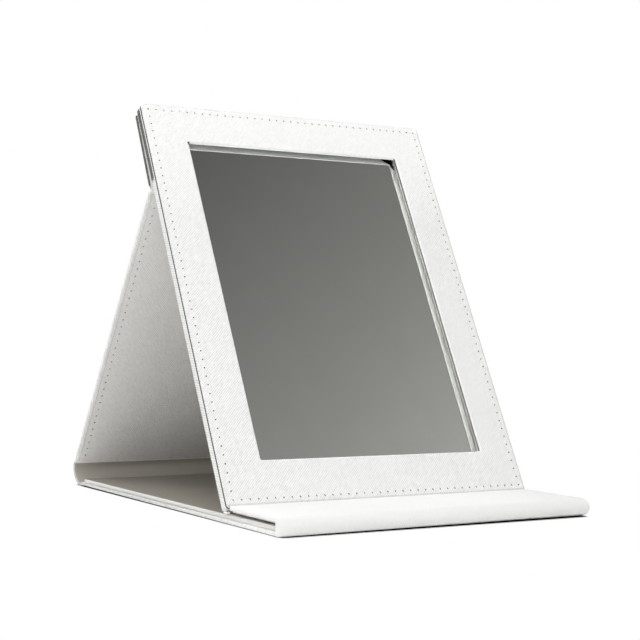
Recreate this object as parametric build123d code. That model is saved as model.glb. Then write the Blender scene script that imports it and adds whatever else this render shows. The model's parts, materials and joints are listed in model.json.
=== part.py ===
from build123d import *
import os
from math import atan2, cos, degrees, hypot, radians, sin

# Trifold vanity mirror: a leather cover of three panels that stands a mirror on a table.
# Millimetres. +Z is up, -Y is the front (the mirror's face), X runs across the panels.
# The origin is on the table, at the middle of the base between its front nose and its rear edge.

os.makedirs("parts", exist_ok=True)

# ---------------------------------------------------------------- driving dimensions

panel_width = 165.0          # every panel, across X
cover_length = 220.5         # base, from the front nose to the rear edge
edge_round = 0.8             # where leather turns over a board's edge
corner_round = 1.5           # panel corners, in plan

leather = 0.6                # full leather thickness
hem = 0.3                    # leather skived thin where it is turned in
hem_width = 8.0              # how far it is turned in behind a board

base_board_thickness = 1.1
base_panel_board_thickness = 1.2
base_panel_side_inset = 0.6  # upper panel, in from the cover's sides
base_panel_rear_inset = 2.8
base_panel_front_inset = 1.2
board_end_inset = 2.0        # boards stop short of a soft hinge

nose_height = 8.2            # padded front spine, table to flap top
flap_reach = 46.7            # from the nose to the flap's rear edge
flap_foam_thickness = 0.5
flap_board_thickness = 0.8

mirror_lean = 62.3           # degrees from the table
mirror_height = 214.2
mirror_back_board_thickness = 1.0
glass_pad_thickness = 0.8
glass_thickness = 2.4
glass_side_overlap = 2.25    # glass behind the frame, at each side and at each end
glass_end_overlap = 3.6
glass_clearance = 0.2        # all round, in the ring that holds it
frame_board_thickness = 0.8
frame_hem = 0.4
frame_side = 21.25           # rails of the frame, from the mirror's edge to the window
frame_top = 22.3
frame_foot = 21.3
window_hem_width = 6.0
window_edge_round = 1.5      # full soft lip round the window

back_board_thickness = 1.3   # strut and top strip
lining_inset = 1.0           # inner leather, in from the cover's sides
strip_length = 42.8          # top strip, from the crease to its top edge
strip_top_inset = 1.3        # top strip, below the mirror's top edge
strip_splay = 1.8            # degrees: the strip's lower end stands off the mirror
crease_gap = 1.2             # bare leather on each side of the crease

rear_lower_radius = 11.5     # rear spine: two arcs that leave the table level
rear_lower_turn = 62.0       # degrees
rear_upper_radius = 6.4
rear_total_turn = 124.0      # degrees, where the strut takes over

hinge_gap = 0.3              # between the two sides of every soft hinge
foot_gap = 0.3               # mirror's foot to the base and to the flap

magnet_diameter = 10.0
magnet_thickness = 0.8
keeper_thickness = 1.0
magnet_spacing = 110.0
magnet_clearance = 0.1
magnet_from_edge = 14.0      # disc centres, in from the free edge

# slits where the turned-in leather doesn't meet, at the window's corners
slit_top_right = 4.0
slit_top_left = 1.4
slit_bottom = 0.8

# ---------------------------------------------------------------- places that follow

lower_layer = leather + base_board_thickness + hem
upper_layer = hem + base_panel_board_thickness + leather
base_top = lower_layer + upper_layer
spine_thickness = 2 * leather

nose_radius = nose_height / 2
front_hinge_y = -cover_length / 2 + nose_radius
rear_hinge_y = cover_length / 2

flap_thickness = leather + flap_foam_thickness + flap_board_thickness + hem + leather
flap_rear_y = -cover_length / 2 + flap_reach

rear_layer = leather + mirror_back_board_thickness + glass_pad_thickness + glass_thickness
front_layer = frame_hem + frame_board_thickness + leather
mirror_thickness = rear_layer + front_layer
window_width = panel_width - 2 * frame_side
window_height = mirror_height - frame_foot - frame_top
glass_width = window_width + 2 * glass_side_overlap      # 127 mm, 5 inches
glass_height = window_height + 2 * glass_end_overlap     # 177.8 mm, 7 inches
lean = radians(mirror_lean)
foot_y = flap_rear_y + foot_gap + mirror_thickness * sin(lean)
foot_z = base_top + foot_gap

back_thickness = leather + back_board_thickness + hem + leather
splay = radians(strip_splay)
crease_height = mirror_height - strip_top_inset - strip_length * cos(splay)
crease_behind = strip_length * sin(splay) + back_thickness / 2 * cos(splay)
crease_y = foot_y + crease_height * cos(lean) + crease_behind * sin(lean)
crease_z = foot_z + crease_height * sin(lean) - crease_behind * cos(lean)

lower_turn = radians(rear_lower_turn)
total_turn = radians(rear_total_turn)
strut_foot_y = (
    rear_hinge_y
    + rear_lower_radius * sin(lower_turn)
    + rear_upper_radius * (sin(total_turn) - sin(lower_turn))
)
strut_foot_z = (
    rear_lower_radius * (1 - cos(lower_turn))
    + rear_upper_radius * (cos(lower_turn) - cos(total_turn))
)
crease_reach = hypot(strut_foot_y - crease_y, crease_z - strut_foot_z)
strut_reach = (crease_reach**2 - (back_thickness / 2) ** 2) ** 0.5
strut_angle = atan2(crease_z - strut_foot_z, strut_foot_y - crease_y) + atan2(
    back_thickness / 2, strut_reach
)

# Working planes: local X across, local Y up the panel, local Z towards the mirror's face.
mirror_plane = Plane(
    origin=(0, foot_y, foot_z), x_dir=(1, 0, 0), z_dir=(0, -sin(lean), cos(lean))
)
strip_plane = Plane(
    origin=(0, crease_y, crease_z),
    x_dir=(1, 0, 0),
    z_dir=(0, -sin(lean + splay), cos(lean + splay)),
)
strut_plane = Plane(
    origin=(0, strut_foot_y, strut_foot_z),
    x_dir=(1, 0, 0),
    z_dir=(0, -sin(strut_angle), -cos(strut_angle)),
)


# ---------------------------------------------------------------- shapes that repeat


def block(width, start, end, bottom, top):
    """A box centred on X, from start to end along Y and from bottom to top along Z."""
    size_y = end - start
    size_z = top - bottom
    place = Pos(0, (start + end) / 2, (bottom + top) / 2)
    return place * Box(width, size_y, size_z)


def soft_plate(width, start, end, bottom, top, soft_start=True, soft_end=True):
    """A plate with rounded leather edges. An end that runs into a hinge stays square."""
    plate = block(width, start, end, bottom, top)
    corners = plate.edges().filter_by(Axis.Z)
    soft_corners = []
    if soft_start:
        soft_corners += corners.group_by(Axis.Y)[0]
    if soft_end:
        soft_corners += corners.group_by(Axis.Y)[-1]
    if soft_corners:
        plate = fillet(soft_corners, corner_round)
    rims = plate.faces().sort_by(Axis.Z)[0].edges() + plate.faces().sort_by(Axis.Z)[-1].edges()
    square = [place for place, soft in ((start, soft_start), (end, soft_end)) if not soft]
    soft_rims = [rim for rim in rims if not any(abs(rim.center().Y - y) < 0.01 for y in square)]
    return fillet(soft_rims, min(edge_round, (top - bottom) / 2 - 0.05))


def wrapped(width, start, end, bottom, board, soft_start=True, soft_end=True, skin_on_top=False):
    """Leather wrapped round a board: a full skin on one side and a turned-in hem on the other.

    Returns the leather and the space for the board. An end that isn't soft is left open, and
    the board stops short of it.
    """
    top = bottom + leather + board + hem
    board_bottom = bottom + (hem if skin_on_top else leather)
    board_top = board_bottom + board
    inner_start = start + (leather if soft_start else 0)
    inner_end = end - (leather if soft_end else 0)
    pocket = block(width - 2 * leather, inner_start, inner_end, board_bottom, board_top)
    opening_start = start + (hem_width if soft_start else 0)
    opening_end = end - (hem_width if soft_end else 0)
    hem_bottom = bottom if skin_on_top else top - hem
    opening = block(width - 2 * hem_width, opening_start, opening_end, hem_bottom, hem_bottom + hem)
    outer = soft_plate(width, start, end, bottom, top, soft_start, soft_end)
    board_start = inner_start if soft_start else start + board_end_inset
    board_end = inner_end if soft_end else end - board_end_inset
    core = block(width - 2 * leather, board_start, board_end, board_bottom, board_top)
    return outer - pocket - opening, core


def across(face):
    """Extrude a face drawn in the YZ plane over the panel's width, centred on X."""
    return extrude(face, amount=panel_width / 2, both=True)


def disc_pair(diameter, bottom, height, y):
    """Two flat discs, spaced across the panel."""
    disc = Pos(0, y, bottom + height / 2) * Cylinder(diameter / 2, height)
    return [Pos(side * magnet_spacing / 2, 0, 0) * disc for side in (-1, 1)]


# ---------------------------------------------------------------- base


def base_parts():
    start = front_hinge_y + hinge_gap
    end = rear_hinge_y - hinge_gap
    cover, board = wrapped(
        panel_width, start, end, 0, base_board_thickness, soft_start=False, soft_end=False
    )
    panel_leather, panel_board = wrapped(
        panel_width - 2 * base_panel_side_inset,
        front_hinge_y + base_panel_front_inset,
        rear_hinge_y - base_panel_rear_inset,
        lower_layer,
        base_panel_board_thickness,
        skin_on_top=True,
    )
    return {
        "base_cover": cover,
        "base_board": board,
        "base_panel_leather": panel_leather,
        "base_panel_board": panel_board,
    }


# ---------------------------------------------------------------- soft spines


def rear_arc_band(outer_depth, inner_depth):
    """The rear spine's profile between two depths below its outer surface."""
    lower_centre = (rear_hinge_y, rear_lower_radius)
    upper_shift = rear_lower_radius - rear_upper_radius
    upper_centre = (
        rear_hinge_y + upper_shift * sin(lower_turn),
        rear_lower_radius - upper_shift * cos(lower_turn),
    )

    def ring_part(centre, radius, first, last):
        outer = radius - outer_depth
        inner = radius - inner_depth
        arc_outer = CenterArc(centre, outer, degrees(first) - 90, degrees(last - first))
        arc_inner = CenterArc(centre, inner, degrees(first) - 90, degrees(last - first))
        sides = [
            Line(arc_outer @ 0, arc_inner @ 0),
            Line(arc_outer @ 1, arc_inner @ 1),
        ]
        return make_face([arc_outer, arc_inner] + sides)

    lower = ring_part(lower_centre, rear_lower_radius, 0, lower_turn)
    upper = ring_part(upper_centre, rear_upper_radius, lower_turn, total_turn)
    return Plane.YZ * (lower + upper)


def back_spine_parts():
    return {
        "back_spine_cover": across(rear_arc_band(0, leather)),
        "back_spine_lining": across(rear_arc_band(leather, spine_thickness)),
    }


def nose_band(outer_depth, inner_depth):
    """Half of a ring: the front spine's profile between two depths below its outer surface."""
    ring = Circle(nose_radius - outer_depth) - Circle(nose_radius - inner_depth)
    front_half = Pos(-nose_radius, 0) * Rectangle(2 * nose_radius, 4 * nose_radius)
    return Plane.YZ * Pos(front_hinge_y, nose_radius) * (ring & front_half)


def front_spine_parts():
    return {
        "front_spine_cover": across(nose_band(0, leather)),
        "front_spine_lining": across(nose_band(leather, spine_thickness)),
    }


# ---------------------------------------------------------------- flap


def flap_parts():
    bottom = nose_height - flap_thickness
    start = front_hinge_y + hinge_gap
    lining_top = bottom + leather
    cover, core = wrapped(
        panel_width,
        start,
        flap_rear_y,
        lining_top,
        flap_foam_thickness + flap_board_thickness,
        soft_start=False,
        skin_on_top=True,
    )
    board_bottom = lining_top + hem
    board_top = board_bottom + flap_board_thickness
    below_foam = block(panel_width, front_hinge_y, flap_rear_y, board_bottom, board_top)
    board = core & below_foam
    foam = core - below_foam
    lining = soft_plate(
        panel_width - 2 * lining_inset,
        start,
        flap_rear_y - lining_inset,
        bottom,
        lining_top,
        soft_start=False,
    )
    magnet_y = flap_rear_y - magnet_from_edge
    magnets = disc_pair(magnet_diameter, board_bottom, magnet_thickness, magnet_y)
    pockets = disc_pair(
        magnet_diameter + 2 * magnet_clearance, board_bottom, flap_board_thickness, magnet_y
    )
    return {
        "flap_cover": cover,
        "flap_foam": foam,
        "flap_board": board - pockets,
        "flap_lining": lining,
        "flap_magnets": Compound(magnets),
    }


# ---------------------------------------------------------------- mirror panel


def mirror_rear_parts():
    """Rear layer, from the outside in: leather, board, pad, then the glass in its ring."""
    leather_part, core = wrapped(
        panel_width, 0, mirror_height, 0, rear_layer - leather - hem
    )
    board_top = leather + mirror_back_board_thickness
    pad_top = board_top + glass_pad_thickness
    glass_middle = frame_foot + window_height / 2
    glass_start = glass_middle - glass_height / 2
    glass_end = glass_middle + glass_height / 2
    board_space = block(panel_width, 0, mirror_height, leather, board_top)
    glass_space = block(
        glass_width + 2 * glass_clearance,
        glass_start - glass_clearance,
        glass_end + glass_clearance,
        board_top,
        rear_layer,
    )
    return {
        "mirror_back_leather": leather_part,
        "mirror_back_board": core & board_space,
        "glass_surround": core - board_space - glass_space,
        "glass_pad": block(glass_width, glass_start, glass_end, board_top, pad_top),
        "mirror_glass": block(glass_width, glass_start, glass_end, pad_top, rear_layer),
    }


def corner_slits():
    """Spaces at the window's corners where the turned-in leather leaves the board bare."""
    bottom = rear_layer
    top = rear_layer + frame_hem + frame_board_thickness
    slits = []
    for side, end, size in (
        (1, 1, slit_top_right),
        (-1, 1, slit_top_left),
        (1, -1, slit_bottom),
        (-1, -1, slit_bottom),
    ):
        corner_x = side * (window_width / 2 + leather)
        corner_y = frame_foot + window_height / 2 + end * (window_height / 2 + leather)
        reach = size + leather
        slit = Box(reach, reach, top - bottom)
        middle = (bottom + top) / 2
        slits.append(Pos(corner_x - side * reach / 2, corner_y - end * reach / 2, middle) * slit)
    return slits


def frame_parts():
    """Front layer: leather wrapped round the outside and the window of a black board."""
    hem_top = rear_layer + frame_hem
    board_top = hem_top + frame_board_thickness
    window_end = frame_foot + window_height

    outer = soft_plate(panel_width, 0, mirror_height, rear_layer, mirror_thickness)
    window = block(window_width, frame_foot, window_end, rear_layer, mirror_thickness)
    outer -= window
    face = outer.faces().sort_by(Axis.Z)[-1]
    outer = fillet(face.inner_wires()[0].edges(), window_edge_round)

    board = block(
        panel_width - 2 * leather, leather, mirror_height - leather, hem_top, board_top
    ) - block(
        window_width + 2 * leather, frame_foot - leather, window_end + leather, hem_top, board_top
    )
    between_hems = block(
        panel_width - 2 * hem_width, hem_width, mirror_height - hem_width, rear_layer, hem_top
    ) - block(
        window_width + 2 * window_hem_width,
        frame_foot - window_hem_width,
        window_end + window_hem_width,
        rear_layer,
        hem_top,
    )
    return {
        "frame_leather": outer - board - between_hems - corner_slits(),
        "frame_board": board,
    }


def back_panel(start, end):
    """A stretch of the back panel: cover, board and lining, with both ends soft."""
    cover, board = wrapped(panel_width, start, end, 0, back_board_thickness)
    lining = soft_plate(
        panel_width - 2 * lining_inset,
        start + lining_inset,
        end - lining_inset,
        back_thickness - leather,
        back_thickness,
    )
    return cover, board, lining


def crease_neck(board_end, crease):
    """The bare leather that runs from a board's end to the crease line."""
    bottom = (back_thickness - leather) / 2
    stop = crease - hinge_gap if crease > board_end else crease + hinge_gap
    start, end = sorted((board_end, stop))
    return block(panel_width - 2 * lining_inset, start, end, bottom, bottom + leather)


def strip_parts():
    """The back panel's top strip, whose own plane starts at the crease, at mid thickness."""
    cover, board, lining = back_panel(crease_gap, strip_length)
    neck = crease_neck(crease_gap + leather, 0) - board
    keeper_y = strip_length - magnet_from_edge
    keepers = disc_pair(magnet_diameter, leather, keeper_thickness, keeper_y)
    pockets = disc_pair(
        magnet_diameter + 2 * magnet_clearance, leather, back_board_thickness, keeper_y
    )
    parts = {
        "strip_cover": cover + neck,
        "strip_board": board - pockets,
        "strip_lining": lining,
        "strip_keepers": Compound(keepers),
    }
    down = Pos(0, 0, -back_thickness / 2)
    return {name: down * shape for name, shape in parts.items()}


def strut_parts():
    """The strut, whose own plane starts at its foot, on its outer surface."""
    end = strut_reach - crease_gap
    cover, board, lining = back_panel(hinge_gap, end)
    neck = crease_neck(end - leather, strut_reach) - board
    return {"strut_cover": cover + neck, "strut_board": board, "strut_lining": lining}


# ---------------------------------------------------------------- assembly


def placed(plane, parts):
    return {name: plane.location * shape for name, shape in parts.items()}


nodes = {}
nodes.update(base_parts())
nodes.update(back_spine_parts())
nodes.update(front_spine_parts())
nodes.update(flap_parts())
nodes.update(placed(mirror_plane, mirror_rear_parts()))
nodes.update(placed(mirror_plane, frame_parts()))
nodes.update(placed(strip_plane, strip_parts()))
nodes.update(placed(strut_plane, strut_parts()))

for name, shape in nodes.items():
    export_step(shape, f"parts/{name}.step")

print("rear hinge   y %.3f z 0" % rear_hinge_y)
print("strut foot   y %.3f z %.3f" % (strut_foot_y, strut_foot_z))
print("crease       y %.3f z %.3f" % (crease_y, crease_z))
print("front hinge  y %.3f z 0 and %.3f" % (front_hinge_y, nose_height))
print("strut angle  %.3f" % degrees(strut_angle))
print("mirror folds %.3f on to the strut" % (180 - mirror_lean - degrees(strut_angle)))
print("spine chord  %.3f" % degrees(atan2(strut_foot_z, strut_foot_y - rear_hinge_y)))
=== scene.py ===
# %% [markdown]
# # A folding leather mirror, dressed cell by cell
#
# This travel mirror is a wallet of stiff panels joined by soft leather. A base lies on the
# table, a strut rises from its rear edge, and a framed glass leans back on the strut. A padded
# nose at the front carries a closing flap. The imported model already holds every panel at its
# real size and place, so it is loaded first and stays fixed. The cells after it cut, sew and
# polish what covers that frame.

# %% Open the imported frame
import json
import math

import bpy
from mathutils import Matrix, Vector


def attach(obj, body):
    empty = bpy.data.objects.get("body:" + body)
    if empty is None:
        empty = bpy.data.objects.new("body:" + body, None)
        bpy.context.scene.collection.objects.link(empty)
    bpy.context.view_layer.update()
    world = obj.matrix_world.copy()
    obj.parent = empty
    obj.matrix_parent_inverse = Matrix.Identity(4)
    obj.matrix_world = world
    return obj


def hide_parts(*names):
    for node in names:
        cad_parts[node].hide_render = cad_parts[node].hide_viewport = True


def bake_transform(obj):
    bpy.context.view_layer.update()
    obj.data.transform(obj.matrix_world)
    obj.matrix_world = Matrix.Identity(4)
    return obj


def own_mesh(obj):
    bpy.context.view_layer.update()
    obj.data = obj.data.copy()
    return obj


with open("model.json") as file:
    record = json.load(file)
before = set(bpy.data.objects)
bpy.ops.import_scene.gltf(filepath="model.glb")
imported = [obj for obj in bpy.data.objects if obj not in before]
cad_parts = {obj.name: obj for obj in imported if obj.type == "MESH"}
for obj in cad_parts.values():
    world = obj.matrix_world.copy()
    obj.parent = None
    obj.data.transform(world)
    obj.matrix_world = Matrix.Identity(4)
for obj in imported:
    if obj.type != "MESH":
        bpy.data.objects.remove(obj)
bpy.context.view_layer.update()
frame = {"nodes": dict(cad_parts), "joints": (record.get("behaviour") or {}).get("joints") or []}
nodes = frame["nodes"]
print("panels of the frame:", ", ".join(sorted(nodes)))

# %% [markdown]
# ## Where the panels lie
#
# A leather worker draws each panel flat, then folds the case up. The same habit keeps this
# script short. Every panel gets its own axes: X across it, Y up it and Z out of it. A piece is
# drawn in those axes, in millimetres, and is laid on its panel at the end. The hinges come from
# the frame itself, and the angles are those at which the mirror stands.

# %% Axes of the panels
MM = 0.001


def mm(*numbers):
    """Millimetres as a vector in metres."""
    return Vector(numbers) * MM


class Panel:
    """The axes of one flat panel, whose place is a point on it and a turn about X."""

    def __init__(self, origin, degrees):
        self.turn = math.radians(degrees)
        self.matrix = Matrix.Translation(origin) @ Matrix.Rotation(self.turn, 4, "X")
        self.flat = Matrix.Rotation(-self.turn, 3, "X") @ origin / MM


MIRROR_LEAN, STRIP_LEAN, STRUT_LEAN = 62.3, 64.1, 56.245
hinges = {joint["name"]: Vector(joint["pos_m"]) for joint in frame["joints"]}
mirror_foot = mm(0, -57.406, 4.4)
mirror_panel = Panel(mirror_foot, MIRROR_LEAN)
strip_panel = Panel(hinges["mirror_fold"], STRIP_LEAN)
strut_panel = Panel(hinges["strut_fold"], 180 - STRUT_LEAN)
for name, place in hinges.items():
    print(f"{name}: y {place.y / MM:.1f} mm, z {place.z / MM:.1f} mm")

# %% [markdown]
# ## Shader sums as plain Python
#
# Leather grain is a sum of waves, and a sum drawn as a chain of Math nodes is hard to read. A
# small class wraps a socket, so that adding or multiplying two of them places the Math node.
# A second class holds one material and makes every other kind of node.

# %% Signals and recipes


class Signal:
    """A value that varies over a surface. Python's operators add the Math nodes."""

    def __init__(self, recipe, socket):
        self.recipe = recipe
        self.socket = socket

    def __add__(self, other):
        return self.recipe.maths("ADD", self, other)

    def __sub__(self, other):
        return self.recipe.maths("SUBTRACT", self, other)

    def __mul__(self, other):
        return self.recipe.maths("MULTIPLY", self, other)

    def __rsub__(self, other):
        return self.recipe.maths("SUBTRACT", other, self)

    __radd__ = __add__


class Recipe:
    """One material: its node tree, its main shader and the ways to add nodes to them."""

    def __init__(self, name, tree=None):
        if tree is None:
            self.material = bpy.data.materials.new(name)
            self.material.use_nodes = True
            tree = self.material.node_tree
        self.tree = tree
        self.shader = next((n for n in tree.nodes if n.type == "BSDF_PRINCIPLED"), None)

    def node(self, kind, settings=None, sockets=None, output=0):
        made = self.tree.nodes.new(kind)
        for name, value in (settings or {}).items():
            if name == "stops":
                self.set_stops(made.color_ramp, value)
            else:
                setattr(made, name, value)
        for key, value in (sockets or {}).items():
            self.feed(made.inputs[key], value)
        return Signal(self, made.outputs[output])

    def set_stops(self, ramp, stops):
        ramp.elements[0].position = stops[0][0]
        ramp.elements[1].position = stops[-1][0]
        for place, _ in stops[1:-1]:
            ramp.elements.new(place)
        for element, (_, colour) in zip(ramp.elements, stops):
            element.color = (*colour, 1)

    def feed(self, socket, value):
        if isinstance(value, Signal):
            self.tree.links.new(value.socket, socket)
        else:
            socket.default_value = value

    def maths(self, operation, *values):
        return self.node("ShaderNodeMath", {"operation": operation}, dict(enumerate(values)))

    def wave(self, signal, pitch):
        """A cosine from 0 to 1 that repeats at the pitch."""
        return self.maths("COSINE", signal * (2 * math.pi / pitch)) * 0.5 + 0.5

    def limit(self, signal):
        return self.node("ShaderNodeClamp", {}, {0: signal})

    def near(self, signal, width):
        """1 where the signal is 0, falling to 0 at the width on both sides."""
        return self.limit(1 - self.maths("ABSOLUTE", signal) * (1 / width))

    def noise(self, vector, scale, detail=2.0, roughness=0.5):
        sockets = {"Vector": vector, "Scale": scale, "Detail": detail, "Roughness": roughness}
        return self.node("ShaderNodeTexNoise", {}, sockets)

    def mix(self, factor, colour, other):
        sockets = {0: factor, 6: colour, 7: other}
        return self.node("ShaderNodeMix", {"data_type": "RGBA"}, sockets, output=2)

    def mix_shaders(self, factor, shader, other):
        return self.node("ShaderNodeMixShader", {}, {0: factor, 1: shader, 2: other})

    def millimetres(self, turn=0.0):
        """The surface's own axes, turned flat and counted in millimetres."""
        coords = self.tree.nodes.new("ShaderNodeTexCoord").outputs["Object"]
        place = {
            "Vector": Signal(self, coords),
            "Rotation": (-turn, 0, 0),
            "Scale": (1 / MM, 1 / MM, 1 / MM),
        }
        vector = self.node("ShaderNodeMapping", {}, place)
        parts = [self.node("ShaderNodeSeparateXYZ", {}, {0: vector}, i) for i in range(3)]
        return vector, parts

    def bump(self, height, depth):
        """Relief whose height runs from 0 to 1 over a depth in millimetres."""
        sockets = {"Height": height, "Distance": depth * MM}
        self.feed(self.shader.inputs["Normal"], self.node("ShaderNodeBump", {}, sockets))

    def set(self, **values):
        """Feed the main shader's sockets, each named in lower case with underscores."""
        for name, value in values.items():
            self.feed(self.shader.inputs[name.replace("_", " ").title()], value)


print("recipes can now be written as sums")

# %% [markdown]
# ## Cross-grain leather
#
# The white hide is pressed between engraved plates. That leaves fine ribs on the diagonal,
# broken by fainter ribs the other way, under a hard wax finish. Each panel is cut from the hide
# in its own direction, so the pattern is laid out in that panel's axes. The sums shear the
# depth into both directions, which keeps the ribs from stretching where the hide turns over
# an edge. The valleys are painted a touch darker, as painted shade for ribs too fine for their relief to
# shade.

# %% Leather recipe
RIB_PITCH = 0.88
CROSS_PITCH = 1.02
RIB_DEPTH = 0.08
VALLEY_SHADE = 0.62
WHITE_HIDE = (0.93, 0.928, 0.918)
INNER_HIDE = (0.95, 0.942, 0.925)
PADDED_HIDE = (0.85, 0.848, 0.838)
# the near-black toward which painted shade and the darkened sides are mixed
SHADE_AND_EDGE_DARK = (0.09, 0.087, 0.082, 1)
HALF_WIDTH = 82.5


def leather(
    name, colour, turn=0.0, roughness=0.43, handed=1, relief=1.0, shade_depth=1.0, edge=None, lightened=None
):
    """Pressed white leather.

    handed is -1 where the ribs run the other way. relief scales the grain's height and
    shade_depth its dark valleys. edge gives where the leather is darkened, by painted shade or on
    its darkened sides, and lightened gives where its valleys are painted pale, as painted light.
    """
    recipe = Recipe(name)
    vector, (x, y, z) = recipe.millimetres(turn)
    across = x * handed + z * 0.4
    along = y + z

    # two crossed ribs, which wander a little as a real plate's do
    wander = recipe.noise(vector, 0.11)
    rib = recipe.wave(along - across + wander * 1.6, RIB_PITCH * math.sqrt(2))
    cross = recipe.wave(along + across - wander * 1.3, CROSS_PITCH * math.sqrt(2))
    grain = rib * (cross * 0.5 + 0.5)

    # uneven pressing, pores, and strokes that join several ribs
    pressed = recipe.noise(vector, 0.035, 1.0)
    speckle = recipe.noise(vector, 1.5, 1.0)
    fine = recipe.noise(vector, 3.5, 3.0, 0.6)
    stretched = recipe.node(
        "ShaderNodeCombineXYZ", {}, {0: (along - across) * 0.95, 1: (along + across) * 0.22, 2: z * 0.3}
    )
    strokes = recipe.noise(stretched, 1.0, 1.0)

    recipe.bump(grain * (0.7 + pressed * 0.5) + strokes * 0.8 + fine * 0.25, RIB_DEPTH * relief)
    # valleys painted darker: painted shade for ribs whose relief is too fine to cast it
    valley = tuple(channel * (1 - (1 - VALLEY_SHADE) * shade_depth) for channel in colour)
    lift = grain * 0.8 + speckle * 0.5 + strokes * 0.9 - 0.36 + fine * 0.15
    # painted light lifts the valleys toward the hide's colour
    if lightened:
        lift = lift + lightened(recipe, x, y, z)
    shade = recipe.mix(recipe.limit(lift), (*valley, 1), (*colour, 1))
    # painted shade and the darkened sides mix the hide toward the dark
    if edge:
        shade = recipe.mix(edge(recipe, x, y, z) * (1.25 - speckle), shade, SHADE_AND_EDGE_DARK)
    recipe.set(base_color=shade, roughness=roughness + 0.10 - grain * 0.10 + pressed * 0.06)
    recipe.shader.inputs["Specular IOR Level"].default_value = 0.42
    return recipe.material


print("rib pitch", RIB_PITCH, "mm")

# %% [markdown]
# ## Where the leather is darkened, or painted with shade and light
#
# The leather isn't evenly white. The sides above the crease are darkened, and the base's sides
# grey toward the rear. Painted shade lines the frame's top, right side and foot, the window's right
# lip and the strut's foot, and painted light makes the top of the frame paler. Each of these places
# is a small function that returns how strong the mark is at a point of a panel. The leather recipe takes them
# in, so a mark stays on its panel when the case moves.

# %% Marks on the leather
MIRROR_HEIGHT = 214.2
CREASE_LINE = 148.0
TOP_LIGHT_START = 150.0
FOOT_SHADE_HEIGHT = 34.0
LIP_LEFT, LIP_RIGHT, LIP_LEVEL = 61.6, 63.6, 5.75


def at_sides(recipe, x, reach):
    """1 at both sides of a panel and for a reach in from them."""
    return recipe.limit((recipe.maths("ABSOLUTE", x) - HALF_WIDTH + reach) * 3)


def dark_side_band(panel, low, high):
    """The sides above the crease, darkened between two heights of a panel."""

    def mark(recipe, x, y, z):
        above = recipe.limit((y - CREASE_LINE) * 0.4)
        level = z - (panel.flat.z + (low + high) / 2)
        inside = recipe.limit(((high - low) / 2 + 0.1 - recipe.maths("ABSOLUTE", level)) * 5)
        return at_sides(recipe, x, 0.6) * above * inside * 1.5

    return mark


def frame_painted_shade(panel):
    """Painted shade along the frame's top, right side and foot, and a painted shadow line round the window's
    right lip.
    """

    def mark(recipe, x, y, z):
        up, out = y - panel.flat.y, z - panel.flat.z
        # painted shade at the top outline, the right side's rounding, the foot below the flap, and the lip's
        # gap
        top_edge = recipe.limit((up - (MIRROR_HEIGHT - 0.6)) * 4) * 0.25
        right_edge = recipe.limit((x - HALF_WIDTH + 0.8) * 3) * 0.6
        foot_edge = recipe.limit((1.6 - up) * 2) * 0.25
        beside_window = recipe.limit((x - LIP_LEFT) * 5) * recipe.limit((LIP_RIGHT - x) * 5)
        return top_edge + right_edge + foot_edge + recipe.near(out - LIP_LEVEL, 0.5) * beside_window * 3

    return mark


def painted_top_light(panel):
    """Painted light: the frame's upper end painted paler, its grain faded, a little more to the right."""

    def mark(recipe, x, y, z):
        return recipe.limit((y - panel.flat.y - TOP_LIGHT_START) * 0.02) * (0.33 + x * 0.001)

    return mark


def painted_foot_shade(panel):
    """Painted shade at the strut's foot, where the fold below shades it, and a darker line along its sides
    where the lining meets the cover.
    """

    def mark(recipe, x, y, z):
        rise = y - panel.flat.y
        # painted shade over the foot, fading toward the left side
        foot_shade = recipe.limit((FOOT_SHADE_HEIGHT - rise) * 0.03) * recipe.limit(x * 0.010 + 0.95) * 0.5
        return at_sides(recipe, x, 1.9) * 0.22 + foot_shade

    return mark


def rear_greyed_side(recipe, x, y, z):
    """The base's sides, greyed more toward the rear."""
    return at_sides(recipe, x, 0.9) * recipe.limit((y + 80) * 0.0125) * 0.3


print("five kinds of mark")

# %% [markdown]
# ## Suede that guards the glass
#
# When the case is shut, the base's inner face lies against the mirror. A taupe microfibre suede
# lines it there, so that nothing scratches the glass. The white leather is turned over the
# panel's sides and leaves a narrow rim round the suede, painted grey as shade. In front, where the
# flap rests, the base stays white leather. The rear spine's lining is paler than the base's suede:
# a greyed white, painted as the shade of the fold. The pile has no pattern, only fine fibres and soft patches
# where a hand has brushed it.

# %% Suede recipe
SUEDE_PILE = (0.262, 0.240, 0.208, 1)
BRUSHED_PILE = (0.228, 0.209, 0.181, 1)
# the spine lining's greyed white, painted as the shade of the fold
SPINE_SHADE_PILE = (0.46, 0.43, 0.385, 1)
SPINE_SHADE_BRUSHED_PILE = (0.40, 0.372, 0.33, 1)
# the turned-in white leather rim, painted grey as shade
SHADED_RIM_HIDE = (0.72, 0.71, 0.69, 1)
SUEDE_REAR, SUEDE_FRONT = 107.45, -60


def suede(name, rim, rear_edge=None, front_edge=None, pile=SUEDE_PILE, brushed=BRUSHED_PILE):
    """Taupe suede whose sides, and the ends that are given, keep a rim of leather this wide, painted grey as
    shade.
    """
    recipe = Recipe(name)
    vector, (x, y, _) = recipe.millimetres()
    patches = recipe.noise(vector, 0.05)
    fibres = recipe.noise(vector, 4.5, 3.0, 0.7)
    recipe.bump(fibres, 0.05)
    edge = recipe.maths("ABSOLUTE", x) - (HALF_WIDTH - rim)
    if rear_edge:
        edge = recipe.maths("MAXIMUM", edge, y - (rear_edge - rim))
    if front_edge:
        edge = recipe.maths("MAXIMUM", edge, (front_edge + rim) - y)
    nap = recipe.mix(patches * 0.7 + fibres * 0.3, brushed, pile)
    recipe.set(
        base_color=recipe.mix(recipe.limit(edge * 4), nap, SHADED_RIM_HIDE),
        roughness=0.86 - fibres * 0.08,
    )
    recipe.shader.inputs["Specular IOR Level"].default_value = 0.25
    return recipe.material


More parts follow.
